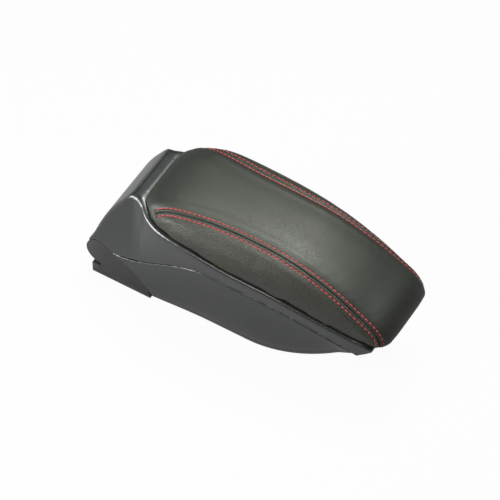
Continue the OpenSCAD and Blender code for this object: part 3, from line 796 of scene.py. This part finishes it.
def one_stitch():
    """A stitch: a thread that bulges in the middle and dives into the leather at both ends."""
    bpy.ops.object.select_all(action="DESELECT")
    bpy.ops.mesh.primitive_uv_sphere_add(segments=8, ring_count=9, radius=1)
    obj = bpy.context.object
    quarter_turn = {"value": math.pi / 2, "orient_axis": "Y", "center_override": (0, 0, 0)}
    edit(obj, lambda: bpy.ops.transform.rotate(**quarter_turn))
    co = np.array([v.co for v in obj.data.vertices])
    t = co[:, 0]
    ring = np.maximum(np.hypot(co[:, 1], co[:, 2]), 1e-9)
    thick = 0.5 * STITCH_THICK * np.maximum(0.0, 1 - t ** 4) ** 0.5
    flat = np.where(np.abs(t) > 0.999, 0.0, 1.0)
    out = np.stack([0.5 * STITCH_LONG * t, co[:, 1] / ring * thick * flat,
                    0.8 * co[:, 2] / ring * thick * flat + 0.28 - 0.75 * t ** 4], 1)
    faces = [tuple(p.vertices) for p in obj.data.polygons]
    bpy.data.objects.remove(obj)
    return out * MM, faces


def stitch_row(name, path, surface, offset, stitch):
    """Copies the stitch along a line beside the seam, at an even pitch measured on the leather."""
    line = []
    for i in range(1, len(path) - 1):
        here, normal = path[i]
        along = (path[i + 1][0] - path[i - 1][0]).normalized()
        beside = normal.cross(along).normalized()
        spot, up, _, _ = surface.find_nearest(here + beside * offset * MM)
        line.append((spot, up))
    steps = [(b[0] - a[0]).length for a, b in zip(line, line[1:])]
    marks = np.concatenate([[0], np.cumsum(steps)]) / MM
    verts, faces = [], []
    co, polys = stitch
    for s in np.arange(STITCH_PITCH * 0.5, marks[-1] - 1, STITCH_PITCH):
        i = int(np.searchsorted(marks, s)) - 1
        t = (s - marks[i]) / (marks[i + 1] - marks[i])
        spot = line[i][0].lerp(line[i + 1][0], t)
        up = line[i][1].lerp(line[i + 1][1], t).normalized()
        ahead = line[min(i + 3, len(line) - 1)][0] - line[max(i - 2, 0)][0]
        ahead = (ahead - up * ahead.dot(up)).normalized()
        axes = np.array([ahead, up.cross(ahead), up])
        base = len(verts)
        verts += [tuple(np.array(spot) + v) for v in co @ axes]
        faces += [tuple(base + k for k in p) for p in polys]
    mesh = bpy.data.meshes.new(name)
    mesh.from_pydata(verts, [], faces)
    obj = bpy.data.objects.new(name, mesh)
    bpy.context.scene.collection.objects.link(obj)
    edit(obj, lambda: bpy.ops.mesh.remove_doubles(threshold=1e-7),
         lambda: bpy.ops.mesh.normals_make_consistent(inside=False))
    smooth(obj, 80)
    finish(obj, red_thread)
    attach(obj, "lid")
    return obj


def leather_pad():
    """The pad from its starting form, filled, creased along both seams and stitched."""
    ends = 1 - np.cos(np.linspace(0, math.pi, 64))
    xs = PAD_X0 + 0.8 + (PAD_L - 1.6) * 0.5 * ends
    pad = hull_form("leather_pad", xs, lambda x: pad_half(x, 1.0))
    apply_modifier(pad, "REMESH", mode="VOXEL", voxel_size=PAD_VOXEL * MM)
    filled(pad)
    apply_modifier(pad, "SMOOTH", factor=0.5, iterations=2)
    apply_modifier(pad, "SUBSURF", levels=2, render_levels=2)
    surface = BVHTree.FromObject(pad, bpy.context.evaluated_depsgraph_get())
    paths = {side: seam_path(surface, side) for side in (-1, 1)}
    finer_near(pad, paths, 6.0)
    co = np.array([v.co for v in pad.data.vertices])
    no = np.array([v.normal for v in pad.data.vertices])
    for side, path in paths.items():
        near = np.full(len(co), FAR_OFF)
        close = np.nonzero(co[:, 1] * side > 0.015)[0]
        near[close] = distance_to(co[close], path)
        border = [pad_border(x / MM + FOOT_MID) for x in co[:, 0]]
        low = np.clip((co[:, 2] / MM - border - 1.0) / 3.0, 0, 1)
        nose = co[:, 0] / MM + FOOT_MID > TRIM_X1
        co += no * (seam_relief(near) * np.where(nose, 1.0, low) * MM)[:, None]
    pad.data.vertices.foreach_set("co", co.ravel())
    pad.data.update()
    smooth(pad, 80)
    finish(pad, centre_leather, side_leather)
    for face in pad.data.polygons:
        c = face.center
        face.material_index = int(abs(c.y) / MM > seam_w(c.x / MM + FOOT_MID))
    surface = BVHTree.FromObject(pad, bpy.context.evaluated_depsgraph_get())
    stitch = one_stitch()
    for side, offset, place in ((-1, -SEAM_ROW, "near_outer"), (-1, SEAM_ROW, "near_inner"),
                                (1, -SEAM_ROW, "far_inner"), (1, SEAM_ROW, "far_outer")):
        stitch_row(f"stitches_{place}", paths[side], surface, offset, stitch)
    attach(pad, "lid")
    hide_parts("cover_centre", "cover_left", "cover_right", "pad_foam")
    return pad


leather_pad()


# Floor, light and camera

def stage_floor():
    bpy.ops.object.select_all(action="DESELECT")
    bpy.ops.mesh.primitive_plane_add(size=8, location=(0, 0, -0.0002))
    floor = bpy.context.object
    floor.name = "studio_floor"
    settle(floor)
    mat = bpy.data.materials.new("pale_studio_floor")
    mat.use_nodes = True
    tree = mat.node_tree
    shader = tree.nodes["Principled BSDF"]
    shader.inputs["Base Color"].default_value = (0.3, 0.3, 0.3, 1)
    shader.inputs["Roughness"].default_value = 0.9
    shader.inputs["Specular IOR Level"].default_value = 0.1
    glow = tree.nodes.new("ShaderNodeEmission")
    light = tree.nodes.new("ShaderNodeLightPath")
    direct = math_node(tree, "MULTIPLY", light.outputs["Is Camera Ray"], 0.96)
    mirrored = math_node(tree, "MULTIPLY", light.outputs["Is Glossy Ray"], 0.24)
    seen = math_node(tree, "ADD", direct, mirrored, True)
    both = tree.nodes.new("ShaderNodeMixShader")
    tree.links.new(seen, both.inputs[0])
    tree.links.new(shader.outputs[0], both.inputs[1])
    tree.links.new(glow.outputs[0], both.inputs[2])
    tree.links.new(both.outputs[0], tree.nodes["Material Output"].inputs["Surface"])
    finish(floor, mat)


TARGET = Vector((0.11935, -0.00005, 0.08824))
TO_CAMERA = Vector((0.3206, -0.5255, 0.7881))
DISTANCE = 3.0
FRAME_WIDTH = 0.4675  # what the 500 pixels of the photograph span at the armrest


def softbox(name, towards, distance, size, power):
    """Area lamp that faces the armrest from a direction."""
    data = bpy.data.lights.new(name, "AREA")
    data.shape = "RECTANGLE"
    data.size, data.size_y = size
    data.energy = power
    lamp = bpy.data.objects.new(name, data)
    away = Vector(towards).normalized()
    lamp.location = TARGET + away * distance
    lamp.rotation_euler = away.to_track_quat("Z", "Y").to_euler()
    bpy.context.scene.collection.objects.link(lamp)


def studio():
    scene = bpy.context.scene
    scene.view_settings.view_transform = "Standard"
    world = bpy.data.worlds.new("studio")
    scene.world = world
    world.use_nodes = True
    tree = world.node_tree
    sky = tree.nodes["Background"]
    sky.inputs["Color"].default_value = (1, 1, 1, 1)
    sky.inputs["Strength"].default_value = 0.05
    white = tree.nodes.new("ShaderNodeBackground")
    white.inputs["Strength"].default_value = 1.0
    rays = tree.nodes.new("ShaderNodeLightPath")
    both = tree.nodes.new("ShaderNodeMixShader")
    tree.links.new(rays.outputs["Is Camera Ray"], both.inputs[0])
    tree.links.new(sky.outputs[0], both.inputs[1])
    tree.links.new(white.outputs[0], both.inputs[2])
    tree.links.new(both.outputs[0], tree.nodes["World Output"].inputs["Surface"])
    softbox("overhead_box", (0.02, 0.22, 1.0), 1.2, (0.5, 0.42), 26.0)
    softbox("side_box", (-0.72, -0.70, 0.14), 1.2, (0.35, 0.3), 20.0)
    softbox("shoulder_box", (-0.02, -0.50, 0.87), 1.3, (0.30, 0.22), 11.0)


def camera():
    data = bpy.data.cameras.new("photo_view")
    data.sensor_width = 36.0
    data.lens = 36.0 * DISTANCE / FRAME_WIDTH
    data.clip_end = 50.0
    cam = bpy.data.objects.new("photo_view", data)
    cam.location = TARGET + TO_CAMERA.normalized() * DISTANCE
    cam.rotation_euler = TO_CAMERA.to_track_quat("Z", "Y").to_euler()
    bpy.context.scene.collection.objects.link(cam)
    bpy.context.scene.camera = cam


stage_floor()
studio()
camera()
